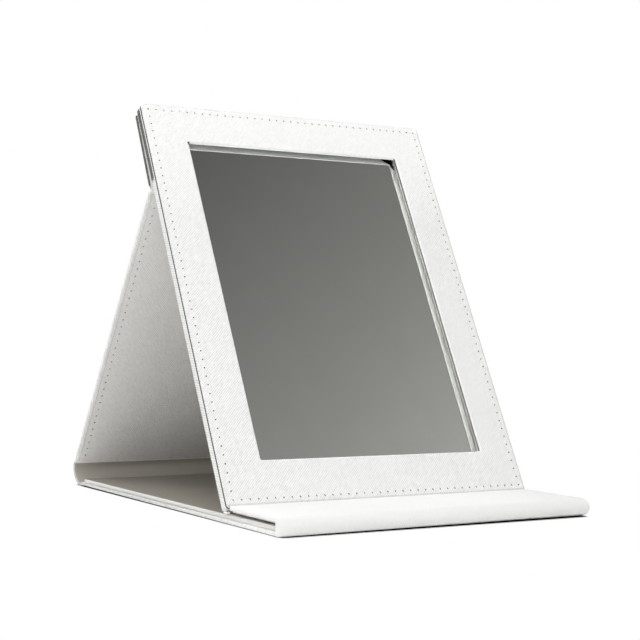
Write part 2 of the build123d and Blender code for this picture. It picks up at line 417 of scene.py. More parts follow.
base_suede = suede("base_suede", 1.1, rear_edge=SUEDE_REAR, front_edge=SUEDE_FRONT)
spine_suede = suede("spine_suede", 0.6, pile=SPINE_SHADE_PILE, brushed=SPINE_SHADE_BRUSHED_PILE)
flap_suede = suede("flap_suede", 9.0)
print("suede on the base from", SUEDE_FRONT, "to", SUEDE_REAR, "mm")

# %% [markdown]
# ## The other finishes
#
# Under the leather are grey bookbinder's board, a black board round the glass, and thin foam.
# The glass itself is clear, and the silver is a coat on its back. Modelled as two surfaces, the
# glass shows its thickness at the frame, as a real mirror does.

# %% Boards, foam and thread


def board(name, colour, fibre_shade, roughness):
    """Pressed paper board: long fibres and darker flecks, dead matt."""
    recipe = Recipe(name)
    vector, _ = recipe.millimetres()
    fibres = recipe.noise(vector, 1.4, 4.0, 0.7)
    flecks = recipe.noise(vector, 0.5)
    shade = tuple(channel * fibre_shade for channel in colour)
    recipe.bump(fibres, 0.05)
    recipe.set(
        base_color=recipe.mix(fibres * 0.6 + flecks * 0.4, (*shade, 1), (*colour, 1)),
        roughness=roughness - fibres * 0.08,
    )
    return recipe.material


def foam_sheet():
    """Thin white foam, with its cells open at the surface."""
    recipe = Recipe("thin_foam")
    vector, _ = recipe.millimetres()
    cells = recipe.node("ShaderNodeTexVoronoi", {}, {"Vector": vector, "Scale": 2.2})
    recipe.bump(cells, 0.15)
    recipe.set(
        base_color=recipe.mix(cells, (0.66, 0.66, 0.64, 1), (0.84, 0.84, 0.82, 1)),
        roughness=0.85 - cells * 0.08,
    )
    return recipe.material


def thread():
    """Bonded white thread, whose plies twist along the stitch."""
    recipe = Recipe("white_thread")
    vector, (x, y, z) = recipe.millimetres(mirror_panel.turn)
    plies = recipe.wave(x + y + z, 0.34)
    fuzz = recipe.noise(vector, 6.0)
    recipe.bump(plies, 0.04)
    recipe.set(
        base_color=recipe.mix(plies * 0.7 + fuzz * 0.3, (0.80, 0.79, 0.77, 1), (0.93, 0.93, 0.91, 1)),
        roughness=0.62 - plies * 0.08,
    )
    return recipe.material


def needle_hole():
    """The shade inside a needle hole, with a few cut fibres."""
    recipe = Recipe("needle_hole")
    vector, _ = recipe.millimetres()
    fibres = recipe.noise(vector, 4.0, 3.0)
    recipe.set(
        base_color=recipe.mix(fibres, (0.012, 0.011, 0.010, 1), (0.075, 0.070, 0.062, 1)),
        roughness=0.9 - fibres * 0.1,
    )
    return recipe.material


grey_board = board("grey_board", (0.42, 0.40, 0.37), 0.72, 0.92)
black_board = board("black_board", (0.018, 0.018, 0.018), 0.45, 0.85)
# a near-black sheet, painted shadow for the seam between the frame and the layer behind it
seam_shadow = board("seam_shadow", (0.026, 0.024, 0.022), 0.5, 0.75)
plain_foam = foam_sheet()
white_thread = thread()
hole_shade = needle_hole()
print("boards, foam and thread mixed")

# %% Glass, silver and metal


def clear_glass():
    """Clear glass with a faint smear. Its low index keeps a second image off the front face."""
    recipe = Recipe("clear_glass")
    vector, _ = recipe.millimetres()
    smear = recipe.noise(vector, 0.03, 1.0)
    recipe.set(roughness=smear * 0.012)
    recipe.shader.inputs["Base Color"].default_value = (0.976, 0.980, 0.972, 1)
    recipe.shader.inputs["Transmission Weight"].default_value = 1.0
    recipe.shader.inputs["IOR"].default_value = 1.09
    return recipe.material


def silvering():
    """The silver on the back of the glass, a little hazy."""
    recipe = Recipe("silvering")
    vector, _ = recipe.millimetres()
    haze = recipe.noise(vector, 0.05)
    recipe.set(
        base_color=recipe.mix(haze, (0.80, 0.81, 0.80, 1), (0.86, 0.87, 0.86, 1)),
        roughness=haze * 0.02,
    )
    recipe.shader.inputs["Metallic"].default_value = 1.0
    return recipe.material


def turned_metal(name, colour):
    """A small machined disc with faint turning rings."""
    recipe = Recipe(name)
    vector, _ = recipe.millimetres()
    rings = recipe.noise(vector, 1.8)
    shade = tuple(channel * 0.85 for channel in colour)
    recipe.bump(rings, 0.02)
    recipe.set(
        base_color=recipe.mix(rings, (*shade, 1), (*colour, 1)),
        roughness=0.28 + rings * 0.15,
    )
    recipe.shader.inputs["Metallic"].default_value = 1.0
    return recipe.material


glass = clear_glass()
silver = silvering()
magnet_metal = turned_metal("magnet_nickel", (0.62, 0.61, 0.59))
keeper_metal = turned_metal("keeper_zinc", (0.55, 0.56, 0.57))
print("glass, silver and metal mixed")

# %% Hides for each panel
REAR_LAYER = 4.8
STRIP_BACK, STRIP_FRONT = -1.4, 0.8
frame_hide = leather(
    "frame_hide",
    WHITE_HIDE,
    mirror_panel.turn,
    edge=frame_painted_shade(mirror_panel),
    lightened=painted_top_light(mirror_panel),
)
mirror_back_hide = leather(
    "mirror_back_hide", WHITE_HIDE, mirror_panel.turn, edge=dark_side_band(mirror_panel, 0.3, REAR_LAYER - 1.3)
)
strip_dark_sides = dark_side_band(strip_panel, STRIP_BACK + 0.5, STRIP_FRONT + 1)
strip_hide = leather("strip_hide", WHITE_HIDE, strip_panel.turn, edge=strip_dark_sides)
strut_hide = leather("strut_hide", WHITE_HIDE, strut_panel.turn, handed=-1)
strut_inner_hide = leather(
    "strut_inner_hide",
    INNER_HIDE,
    strut_panel.turn,
    handed=-1,
    shade_depth=0.75,
    edge=painted_foot_shade(strut_panel),
)
cover_hide = leather("cover_hide", WHITE_HIDE, edge=rear_greyed_side)
pad_hide = leather("pad_hide", PADDED_HIDE, roughness=0.40, relief=0.15, shade_depth=0.25)
print("finishes mixed:", len(bpy.data.materials))

# %% [markdown]
# ## Finishing the frame's own panels
#
# A packed panel whose shape is right stays, and gets a better finish. Its mesh is never
# touched: only the material in its slot changes. Boards, foam and magnets are hidden inside,
# but they are finished too, because a part of the model may be looked at by itself.

# %% Finish the carried-over panels
finish_of = {
    "base_board": grey_board,
    "base_panel_board": grey_board,
    "base_panel_leather": base_suede,
    "mirror_back_leather": mirror_back_hide,
    "mirror_back_board": grey_board,
    "glass_surround": grey_board,
    "glass_pad": plain_foam,
    "mirror_glass": glass,
    "strut_board": grey_board,
    "strip_board": grey_board,
    "strip_lining": strip_hide,
    "strip_keepers": keeper_metal,
    "flap_board": grey_board,
    "flap_foam": plain_foam,
    "flap_magnets": magnet_metal,
    "flap_lining": flap_suede,
}
for name, material in finish_of.items():
    nodes[name].material_slots[0].material = material
print("carried over:", len(finish_of), "panels")

# %% [markdown]
# ## Cutting and folding by hand
#
# Each piece starts as a block at its size. Its edges are then picked by their place, as a
# person would click them, and are beveled or spun. Picking happens in code, because an operator
# acts on whatever is selected, so everything is deselected first.

# %% Hand tools: take, add and pick


def deselect():
    """Let go of everything, the frame's own panels included."""
    bpy.ops.object.select_all(action="DESELECT")


def take(piece):
    """Select one piece alone and make it the active one."""
    deselect()
    piece.select_set(True)
    bpy.context.view_layer.objects.active = piece


def named(name):
    """Name the piece in hand and its mesh."""
    piece = bpy.context.object
    piece.name = piece.data.name = name
    return piece


def block(name, width, start, end, bottom, top):
    """A cube scaled to a panel's size and centred across it."""
    deselect()
    middle = mm(0, (start + end) / 2, (bottom + top) / 2)
    bpy.ops.mesh.primitive_cube_add(size=1, location=middle, scale=mm(width, end - start, top - bottom))
    bpy.ops.object.transform_apply(location=True, rotation=True, scale=True)
    return named(name)


def pick(piece, kind, test):
    """Open edit mode with the vertices, edges or faces that pass a test on centre and span."""
    take(piece)
    bpy.ops.object.mode_set(mode="EDIT")
    bpy.ops.mesh.select_mode(type=kind)
    bpy.ops.mesh.select_all(action="DESELECT")
    bpy.ops.object.mode_set(mode="OBJECT")
    mesh = piece.data
    for part in {"VERT": mesh.vertices, "EDGE": mesh.edges, "FACE": mesh.polygons}[kind]:
        corners = [part.co] if kind == "VERT" else [mesh.vertices[i].co for i in part.vertices]
        low, high = (Vector(map(end, zip(*corners))) for end in (min, max))
        part.select = bool(test((low + high) / 2 / MM, (high - low) / MM))
    bpy.ops.object.mode_set(mode="EDIT")


def open_whole(piece):
    """Open edit mode with everything selected."""
    take(piece)
    bpy.ops.object.mode_set(mode="EDIT")
    bpy.ops.mesh.select_all(action="SELECT")


def close_edit():
    """Leave edit mode."""
    bpy.ops.object.mode_set(mode="OBJECT")


print("pieces can be taken and their edges picked")

# %% Hand tools: shape and finish
SHARP_ANGLE = math.radians(40)


def bevel(piece, test, offset, segments, clamp=True):
    """Round the edges that pass the test."""
    pick(piece, "EDGE", test)
    bpy.ops.mesh.bevel(offset=offset * MM, segments=segments, affect="EDGES", clamp_overlap=clamp)
    close_edit()


def modify(piece, kind, **settings):
    """Add a modifier and apply it at once."""
    take(piece)
    modifier = piece.modifiers.new(kind.lower(), kind)
    for name, value in settings.items():
        setattr(modifier, name, value)
    bpy.ops.object.modifier_apply(modifier=modifier.name)


def cut(piece, cutter):
    """Take the cutter's shape out of the piece. The cutter's own finish lines the cut."""
    modify(piece, "BOOLEAN", object=cutter, operation="DIFFERENCE", solver="EXACT", material_mode="TRANSFER")
    bpy.data.objects.remove(cutter)


def even_shading(piece):
    """Smooth the rounded edges and keep the flats flat."""
    take(piece)
    bpy.ops.object.shade_smooth_by_angle(angle=SHARP_ANGLE)
    modify(piece, "WEIGHTED_NORMAL", keep_sharp=True, weight=100)


def dress(piece, material):
    """Give a piece one finish."""
    piece.data.materials.clear()
    piece.data.materials.append(material)


def lay(piece, panel):
    """Move a flat drawing to its panel and fix it there."""
    take(piece)
    piece.matrix_world = panel.matrix
    bpy.ops.object.transform_apply(location=True, rotation=True, scale=True)


def join(name, pieces):
    """Join several meshes into one piece."""
    take(pieces[0])
    for piece in pieces:
        piece.select_set(True)
    bpy.ops.object.join()
    return named(name)


print("pieces can be shaped, dressed and laid")

# %% Hand tools: wrapped boards and cut lines
CORNER_ROUND = 1.5
NEARLY = 0.01


def upright(centre, span):
    """Edges that stand out of the panel."""
    return span.z > 0.1 and span.x < NEARLY and span.y < NEARLY


def wrapped_board(name, width, start, end, bottom, top, square=(), rim=0.8):
    """Leather turned over a board: soft corners in plan and a soft rim. A square end stays."""
    piece = block(name, width, start, end, bottom, top)

    def at_square(centre):
        return any(abs(centre.y - place) < NEARLY for place in square)

    rim = min(rim, (top - bottom) / 2 - 0.05)
    bevel(piece, lambda c, s: upright(c, s) and not at_square(c), CORNER_ROUND, 5)
    bevel(piece, lambda c, s: s.z < NEARLY and not at_square(c), rim, 4)
    return piece


def slice_up(piece, axis, places):
    """Cut lines across a piece, so that its skin can be pushed and pulled between them."""
    take(piece)
    bpy.ops.object.mode_set(mode="EDIT")
    for place in places:
        bpy.ops.mesh.select_all(action="SELECT")
        point = [0, 0, 0]
        point[axis] = place * MM
        normal = [0, 0, 0]
        normal[axis] = 1
        bpy.ops.mesh.bisect(plane_co=point, plane_no=normal)
    close_edit()


def steps(start, end, count):
    """Places that divide a length evenly, without its ends."""
    return [start + (end - start) * (i + 1) / count for i in range(count - 1)]


print("hand tools ready")

# %% [markdown]
# ## The window frame
#
# The frame is the piece that a maker is judged by. Leather is stretched over a black board,
# turned in round the outside and pulled down through the window as a full soft lip. The board
# stands back behind that lip. At the window's corners the leather has to be slit, and the black
# shows there, most of all at the top right. The underside rides a hair above the glass, which
# lets the glass mirror it.

# %% Cut the window and its soft lip
PANEL_WIDTH = 2 * HALF_WIDTH
MIRROR_THICKNESS = 6.6
WINDOW_LEFT, WINDOW_RIGHT = -60.6, 61.9
WINDOW_FOOT, WINDOW_TOP = 22.0, 192.95
WINDOW_MIDDLE = (WINDOW_LEFT + WINDOW_RIGHT) / 2
LIP = 1.3
GLASS_GAP = 0.3


def window_cutter(name, wider=0.0):
    """A block through the front layer: the window, and this much wider on every side."""
    width, foot, top = WINDOW_RIGHT - WINDOW_LEFT, WINDOW_FOOT - wider, WINDOW_TOP + wider
    cutter = block(name, width + 2 * wider, foot, top, REAR_LAYER - 1, MIRROR_THICKNESS + 1)
    cutter.data.transform(Matrix.Translation(mm(WINDOW_MIDDLE, 0, 0)))
    return cutter


def round_window(centre, span):
    """The window's front edges, where the lip goes."""
    across = WINDOW_LEFT - 0.1 < centre.x < WINDOW_RIGHT + 0.1
    along = WINDOW_FOOT - 0.1 < centre.y < WINDOW_TOP + 0.1
    return across and along and span.z < NEARLY and centre.z > MIRROR_THICKNESS - NEARLY


window_frame = wrapped_board(
    "window_frame", PANEL_WIDTH, 0, MIRROR_HEIGHT, REAR_LAYER + GLASS_GAP, MIRROR_THICKNESS, rim=0.45
)
opening = window_cutter("opening")
bevel(opening, upright, 0.7, 3)
cut(window_frame, opening)
bevel(window_frame, round_window, LIP, 7, clamp=False)
print("window frame:", len(window_frame.data.polygons), "faces")

# %% Set the black board inside it
HIDE = 0.6
BOARD_SETBACK = 2.0
window_board = wrapped_board(
    "window_board",
    PANEL_WIDTH - 2 * HIDE,
    HIDE,
    MIRROR_HEIGHT - HIDE,
    REAR_LAYER + HIDE,
    MIRROR_THICKNESS - HIDE,
    rim=0.1,
)
cut(window_board, window_cutter("board_opening", BOARD_SETBACK))
dress(window_board, black_board)
lay(window_board, mirror_panel)
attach(window_board, "mirror")
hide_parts("frame_board")
print("black board stands back", BOARD_SETBACK, "mm from the window")

# %% Slit the turned-in leather at the corners
SLIT_TOP = 5.5
WIDE_SLIT = ((WINDOW_RIGHT, WINDOW_TOP), (67, 184), (55, 197.4), (67, 197.4))
SMALL_SLIT = ((-64, 189.5), (-59.8, 192.6), (-64, 197), (-57, 197))
LIP_NICK = ((-61.5, 191.7), (-60.2, 191.7), (-61.5, 193.3), (-60.2, 193.3))


def slit(near, right, left, far, bottom=REAR_LAYER - 0.5, top=SLIT_TOP):
    """A four-sided hollow in the turned-in leather: a block whose upright edges are moved."""
    hollow = block("slit", 2, -1, 1, bottom, top)
    corners = (near, right, left, far)
    for vertex in hollow.data.vertices:
        x, y = corners[(vertex.co.x > 0) + 2 * (vertex.co.y > 0)]
        vertex.co.x, vertex.co.y = x * MM, y * MM
    hollow.data.materials.append(black_board)
    return hollow


window_frame.data.materials.clear()
window_frame.data.materials.append(frame_hide)
cut(window_frame, join("slits", [slit(*WIDE_SLIT), slit(*SMALL_SLIT)]))
cut(window_frame, slit(*LIP_NICK, bottom=SLIT_TOP, top=MIRROR_THICKNESS + 0.2))
print("slits cut at the two upper corners")

# %% [markdown]
# ## Saddle stitching
#
# Saddle stitches are sewn by hand through slanted awl holes, about 4.3 mm apart. One hole and
# one stitch are modelled, and an Array modifier repeats each along a row. The holes are then
# cut through the leather at once, so they are real pits, and the thread dips into them.

# %% One hole and one stitch
HOLE_LENGTH, HOLE_WIDTH, HOLE_DEPTH = 0.98, 0.64, 0.75
AWL_SLANT = 0.35
PUNCH_HEIGHT = 2.0
THREAD_RADIUS = 0.25
THREAD_DROP = 0.19


def awl_hole(angle, floor):
    """A slanted lens-shaped punch that stands on its floor."""
    deselect()
    size = mm(HOLE_LENGTH, HOLE_WIDTH, PUNCH_HEIGHT)
    bpy.ops.mesh.primitive_cylinder_add(
        vertices=8, radius=0.5, depth=1, rotation=(0, 0, angle + AWL_SLANT), scale=size
    )
    bpy.ops.object.transform_apply(location=True, rotation=True, scale=True)
    punch = named("punch")
    punch.data.transform(Matrix.Translation(mm(0, 0, floor + PUNCH_HEIGHT / 2)))
    punch.data.materials.append(hole_shade)
    return punch


def one_stitch(length, angle):
    """A stitch between two holes: a soft bow whose ends go down into the leather."""
    deselect()
    bpy.ops.mesh.primitive_cylinder_add(
        vertices=8, radius=THREAD_RADIUS * MM, depth=length * MM, rotation=(math.radians(90), 0, 0)
    )
    bpy.ops.object.transform_apply(location=True, rotation=True, scale=True)
    stitch = named("stitch")
    pick(stitch, "EDGE", lambda c, s: s.y > length * 0.5)
    bpy.ops.mesh.subdivide(number_cuts=7)
    close_edit()
    for vertex in stitch.data.vertices:
        reach = abs(vertex.co.y / MM) / (length / 2)
        vertex.co.z -= (THREAD_DROP + 0.5 * reach**6) * MM
        vertex.co.x *= 1 - 0.35 * reach**4
    stitch.data.transform(Matrix.Rotation(angle, 4, "Z"))
    stitch.data.materials.append(white_thread)
    bpy.ops.object.shade_smooth()
    return stitch


def turn_under(stitch):
    """Mirror a stitch for a panel's under face, with its faces still looking outward."""
    stitch.data.transform(Matrix.Scale(-1, 4, (0, 0, 1)))
    open_whole(stitch)
    bpy.ops.mesh.flip_normals()
    close_edit()


print("holes", HOLE_DEPTH, "mm deep, thread", 2 * THREAD_RADIUS, "mm thick")

# %% Rows and seams
STITCH_INSET = 3.2
FRAME_PITCH, BACK_PITCH = 4.3, 4.45
STITCH_GAP = 0.35


def row(piece, start, step, count):
    """Repeat a piece from a start point, one step apart."""
    piece.data.transform(Matrix.Translation(mm(*start, 0)))
    modify(
        piece,
        "ARRAY",
        count=count,
        use_relative_offset=False,
        use_constant_offset=True,
        constant_offset_displace=mm(*step, 0),
    )
    return piece


def seam_rows(corners, pitch, closed):
    """Divide each side of a seam into whole stitches: start, step, count and angle."""
    ends = corners[1:] + (corners[:1] if closed else [])
    for (x, y), (end_x, end_y) in zip(corners, ends):
        run = math.hypot(end_x - x, end_y - y)
        count = round(run / pitch)
        step = ((end_x - x) / count, (end_y - y) / count)
        yield (x, y), step, count, math.atan2(-step[0], step[1])


def sew(name, cloth, panel, body, corners, surface, under=False, pitch=BACK_PITCH, closed=False):
    """Punch a seam's holes into a cloth that is still flat, and lay its thread on the panel."""
    punches, stitches = [], []
    floor = surface - PUNCH_HEIGHT + HOLE_DEPTH if under else surface - HOLE_DEPTH
    for start, step, count, angle in seam_rows(corners, pitch, closed):
        punches.append(row(awl_hole(angle, floor), start, step, count))
        stitch = one_stitch(math.hypot(*step) - STITCH_GAP, angle)
        if under:
            turn_under(stitch)
        stitch.data.transform(Matrix.Translation(mm(0, 0, surface)))
        middle = (start[0] + step[0] / 2, start[1] + step[1] / 2)
        stitches.append(row(stitch, middle, step, count))
    cut(cloth, join("punches", punches))
    thread_row = join(name, stitches)
    lay(thread_row, panel)
    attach(thread_row, body)


print("seams can be sewn at", FRAME_PITCH, "and", BACK_PITCH, "mm")

# %% Sew the frame
left, right = -PANEL_WIDTH / 2 + STITCH_INSET, PANEL_WIDTH / 2 - STITCH_INSET
low, high = STITCH_INSET, MIRROR_HEIGHT - STITCH_INSET
sew(
    "frame_thread",
    window_frame,
    mirror_panel,
    "mirror",
    [(left, low), (right, low), (right, high), (left, high)],
    MIRROR_THICKNESS,
    pitch=FRAME_PITCH,
    closed=True,
)
even_shading(window_frame)
lay(window_frame, mirror_panel)
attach(window_frame, "mirror")
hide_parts("frame_leather")
print("sewn frame:", len(window_frame.data.polygons), "faces")

# %% [markdown]
# ## Silver and the seam's painted shadow
#
# The silver is a thin coat on the back of the glass. Between the frame and the layer behind it
# lies a thin black sheet, painted shadow that draws the dark seam along the mirror's sides.

# %% Silver the glass and shade the seam
GLASS_BACK = 2.4
SILVER_WIDTH, SILVER_FOOT, SILVER_TOP = 126.4, 18.0, 195.2
RECESS_WIDTH, RECESS_FOOT, RECESS_TOP = 128.4, 15.0, 198.0
SHADOW_SETBACK = 0.02

silver_coat = block(
    "silver_coat", SILVER_WIDTH, SILVER_FOOT, SILVER_TOP, GLASS_BACK + 0.02, GLASS_BACK + 0.06
)
bevel(silver_coat, upright, 0.5, 3)
dress(silver_coat, silver)
lay(silver_coat, mirror_panel)
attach(silver_coat, "mirror")

# the black sheet of painted shadow stops at the recess that holds the glass
shadow_width, shadow_end = PANEL_WIDTH - 2 * SHADOW_SETBACK, MIRROR_HEIGHT - SHADOW_SETBACK
seam_shadow_sheet = wrapped_board("seam_shadow_sheet", shadow_width, SHADOW_SETBACK, shadow_end, 4.3, 5.3, rim=0.1)
cut(seam_shadow_sheet, block("inner_edge", RECESS_WIDTH, RECESS_FOOT, RECESS_TOP, 4, 6))
dress(seam_shadow_sheet, seam_shadow)
lay(seam_shadow_sheet, mirror_panel)
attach(seam_shadow_sheet, "mirror")
print("silvered and glued")

# %% [markdown]
# ## The strut and the top strip
#
# The back panel is one hide over two boards with a crease between them. The long board is the
# strut and the short one is glued to the mirror's back. Their linings are panels of their own,
# set in a little from the sides and sewn through.

# %% Cover and line the strut
STRUT_END = 169.40
COVER_TOP = 2.2
BACK_THICKNESS = 2.8
LINING_INSET = 1.0
SEAM_SIDE = 78.2


def arch(foot, top):
    """A seam up one side, across the top and down the other side."""
    return [(-SEAM_SIDE, foot), (-SEAM_SIDE, top), (SEAM_SIDE, top), (SEAM_SIDE, foot)]


strut_cover = wrapped_board("strut_hide_panel", PANEL_WIDTH, 0, STRUT_END, 0, COVER_TOP, square=(0,))
dress(strut_cover, strut_hide)
strut_lining = wrapped_board(
    "strut_lining_panel",
    PANEL_WIDTH - 2 * LINING_INSET,
    1.3,
    STRUT_END - LINING_INSET,
    COVER_TOP,
    BACK_THICKNESS,
)
dress(strut_lining, strut_inner_hide)
strut_seam = arch(foot=6.0, top=STRUT_END - 4.4)
sew("strut_inner_thread", strut_lining, strut_panel, "strut", strut_seam, BACK_THICKNESS)
sew("strut_outer_thread", strut_cover, strut_panel, "strut", strut_seam, 0, under=True)
for piece, node in ((strut_cover, "strut_cover"), (strut_lining, "strut_lining")):
    even_shading(piece)
    lay(piece, strut_panel)
    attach(piece, "strut")
    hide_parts(node)
print("strut covered, lined and sewn")

# %% Cover the strip
STRIP_START = 1.2
STRIP_END = 42.8
strip_cover = wrapped_board("strip_hide_panel", PANEL_WIDTH, STRIP_START, STRIP_END, STRIP_BACK, STRIP_FRONT)
dress(strip_cover, strip_hide)
strip_seam = arch(foot=5.6, top=STRIP_END - 4.3)
sew("strip_thread", strip_cover, strip_panel, "mirror", strip_seam, STRIP_BACK, under=True)
even_shading(strip_cover)
lay(strip_cover, strip_panel)
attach(strip_cover, "mirror")
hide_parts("strip_cover")
print("strip covered and sewn")

# %% [markdown]
# ## Soft folds
#
# Where the hide has no board it is a plain sheet, and it takes the curve that the case gives
# it. Such a sheet is modelled as a worker would bend it: its cut edge is drawn once and then
# spun round each bend. The rear spine bends twice, from level to the strut's lean. The crease is
# one short sheet laid across the fold.

# %% Bend a sheet of leather
SPINE_BEND = 62
BEND_STEP = 3.5
HIDE_RADII, LINING_RADII = (11.5, 6.4), (10.85, 5.75)
front_y, rear_y = hinges["front_spine_fold"].y / MM, hinges["back_spine_fold"].y / MM


def bent_sheet(name, width, thickness, start, radii):
    """A sheet that starts level at a point (y, z) and bends round each radius in turn.

    The sheet's outer face follows the path, and its thickness lies to the left of it.
    """
    heading, turn = 0.0, math.radians(SPINE_BEND)
    y, z = start
    deselect()
    bpy.ops.mesh.primitive_plane_add(size=1, rotation=(math.radians(90), 0, 0))
    bpy.context.object.scale = mm(width, thickness, 1000)
    bpy.ops.object.transform_apply(location=True, rotation=True, scale=True)
    sheet = named(name)
    sheet.data.transform(Matrix.Translation(mm(0, 0, thickness / 2)))
    pick(sheet, "VERT", lambda c, s: True)
    bpy.ops.mesh.bevel(offset=min(0.2, thickness * 0.4) * MM, segments=3, affect="VERTICES")
    close_edit()
    sheet.data.transform(Matrix.Translation(mm(0, y, z)))
    pick(sheet, "FACE", lambda c, s: True)
    for radius in radii:
        left_of = Vector((0, -math.sin(heading), math.cos(heading)))
        centre = Vector((0, y, z)) + left_of * radius
        bpy.ops.mesh.spin(
            steps=round(SPINE_BEND / BEND_STEP), angle=-turn, center=centre * MM, axis=(1, 0, 0)
        )
        arm = Vector((0, y, z)) - centre
        turned = Matrix.Rotation(turn, 3, "X") @ arm
        y, z = centre.y + turned.y, centre.z + turned.z
        heading += turn
    bpy.ops.mesh.select_all(action="SELECT")
    bpy.ops.mesh.remove_doubles(threshold=0.00001)
    bpy.ops.mesh.normals_make_consistent(inside=False)
    close_edit()
    print(f"{name}: ends at y {y:.2f}, z {z:.2f} mm")
    return sheet


print("sheets bend by", SPINE_BEND, "degrees at a time")

# %% Rear spine
rear_spine_hide = bent_sheet("rear_spine_hide", PANEL_WIDTH, HIDE, (rear_y, 0), HIDE_RADII)
dress(rear_spine_hide, cover_hide)
even_shading(rear_spine_hide)
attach(rear_spine_hide, "back_spine")
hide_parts("back_spine_cover")

rear_spine_lining = bent_sheet("rear_spine_lining", PANEL_WIDTH - 1.0, 0.55, (rear_y, 0.65), LINING_RADII)
dress(rear_spine_lining, spine_suede)
even_shading(rear_spine_lining)
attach(rear_spine_lining, "back_spine")
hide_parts("back_spine_lining")

for sheet in (rear_spine_hide, rear_spine_lining):
    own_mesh(sheet)

# %% Base cover and crease
EDGE_LIFT = 0.55
CREASE_REACH, CREASE_SOFT = 1.9, 1.4

# the base's side edges rise a little toward the rear, where the spine pulls on them
base_hide = wrapped_board("base_hide", PANEL_WIDTH, front_y, rear_y, 0, 2.0, square=(front_y, rear_y))
slice_up(base_hide, 0, (-78, 78))
for vertex in base_hide.data.vertices:
    if abs(vertex.co.x) > 79 * MM and vertex.co.z < 1 * MM:
        rearward = (vertex.co.y / MM - front_y) / (rear_y - front_y)
        vertex.co.z += EDGE_LIFT * rearward * MM * (1 - vertex.co.z / MM)
dress(base_hide, cover_hide)
even_shading(base_hide)
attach(base_hide, "base")
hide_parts("base_cover")

crease_sheet = block("crease_sheet", PANEL_WIDTH - 0.6, -CREASE_REACH, CREASE_REACH, -0.5, 0.5)
bevel(crease_sheet, lambda c, s: s.x > 100, 0.3, 2)
dress(crease_sheet, strip_hide)
even_shading(crease_sheet)
lay(crease_sheet, strip_panel)
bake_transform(crease_sheet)
print("base and crease covered")

# %% [markdown]
# ## The padded nose and the flap
#
# The front spine is padded, so it bulges forward in a half oval between the base and the flap.
# It starts as a lying cylinder that is squeezed to an oval and cut in half at the hinge. The
# flap over it is a thin board with a sheet of foam under its leather. Its skin is cut into a
# grid, and the middle of the grid is lifted a little, which gives it the crown that foam gives.
# The hinge line stays level, so that nose and flap meet without a step.

# %% Stuff the nose
NOSE_REACH = 5.6
NOSE_HEIGHT = 8.2
NOSE_LIFT = 0.35
UNDERSIDE = 3.0

deselect()
bpy.ops.mesh.primitive_cylinder_add(
    vertices=56,
    radius=1,
    depth=1,
    location=mm(0, front_y, NOSE_HEIGHT / 2),
    rotation=(0, math.radians(90), 0),
    scale=mm(NOSE_HEIGHT / 2, NOSE_REACH, PANEL_WIDTH),
)
bpy.ops.object.transform_apply(location=True, rotation=True, scale=True)
nose = named("nose_hide")
open_whole(nose)
bpy.ops.mesh.bisect(plane_co=mm(0, front_y, 0), plane_no=(0, 1, 0), use_fill=True, clear_outer=True)
close_edit()
bevel(nose, lambda c, s: abs(c.x) > HALF_WIDTH - NEARLY and c.y < front_y - NEARLY, 1.0, 4)

# its underside rests flat at the left and lifts off the table toward the right
slice_up(nose, 0, steps(-HALF_WIDTH, HALF_WIDTH, 12))
for vertex in nose.data.vertices:
    under = max(0, 1 - vertex.co.z / MM / UNDERSIDE)
    rightward = (vertex.co.x / MM / HALF_WIDTH + 1) / 2
    vertex.co.z *= 1 - 0.85 * (1 - rightward) * under
    vertex.co.z += NOSE_LIFT * rightward * under * MM
dress(nose, pad_hide)
even_shading(nose)
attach(nose, "front_spine")
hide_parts("front_spine_cover", "front_spine_lining")
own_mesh(nose)
print("nose reaches", NOSE_REACH, "mm in front of its hinge")

# %% Crown the flap
FLAP_END = -63.55
FLAP_FLOOR = 6.0
RIM_START = NOSE_HEIGHT - 1.0
CROWN = 0.4

flap = wrapped_board(
    "flap_pad", PANEL_WIDTH, front_y, FLAP_END, FLAP_FLOOR, NOSE_HEIGHT, square=(front_y,), rim=1.0
)
slice_up(flap, 0, steps(-HALF_WIDTH, HALF_WIDTH, 20))
slice_up(flap, 1, steps(front_y, FLAP_END, 10))
for vertex in flap.data.vertices:
    across = vertex.co.x / MM / HALF_WIDTH
    along = (vertex.co.y / MM - front_y) / (FLAP_END - front_y)
    upper = max(0, min(1, vertex.co.z / MM - RIM_START))
    vertex.co.z += CROWN * (1 - across**6) * math.sin(math.pi * along) ** 2 * upper * MM
dress(flap, pad_hide)
even_shading(flap)
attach(flap, "flap")
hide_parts("flap_cover")
print("flap crowned by", CROWN, "mm")

# %% Fold the spare corner under the mirror's foot
TAB_WIDTH, TAB_SIDE = 1.6, -82.1
TAB_FRONT, TAB_REAR = -63.2, -59.4
foot_tab = block("foot_tab", TAB_WIDTH, TAB_FRONT, TAB_REAR, 4.45, 5.2)
bevel(foot_tab, lambda c, s: True, 0.25, 2)
foot_tab.data.transform(Matrix.Translation(mm(TAB_SIDE, 0, 0)))
dress(foot_tab, cover_hide)
even_shading(foot_tab)
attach(foot_tab, "mirror")
print("soft parts done")

# %% [markdown]
# ## Studio
#
# The camera stands to the left of the mirror and level with its middle. Three soft boxes light
# the case: one overhead, a small one at the front left and one behind. The floor is pale and
# keeps only the tight shadow where the case touches it.
#
# The world plays four parts, told apart by the kind of ray. The camera sees plain white. Leather
# gets a faint even fill. The glass mirrors a pale room with a dim ceiling. Light that reaches
# the leather by way of the glass comes from a brighter glow, strongest from the upper left,
# because that is what makes the frame's inner lip shine beside a mirror.

# %% Camera
CAMERA_PLACE, CAMERA_TARGET = mm(-384.4, -649.95, 87.4), mm(-7.2, -13.35, 90.5)
CAMERA_ROLL = math.radians(0.68)
SENSOR_WIDTH, FOCAL_PIXELS, PICTURE_PIXELS = 36, 1500.8, 640


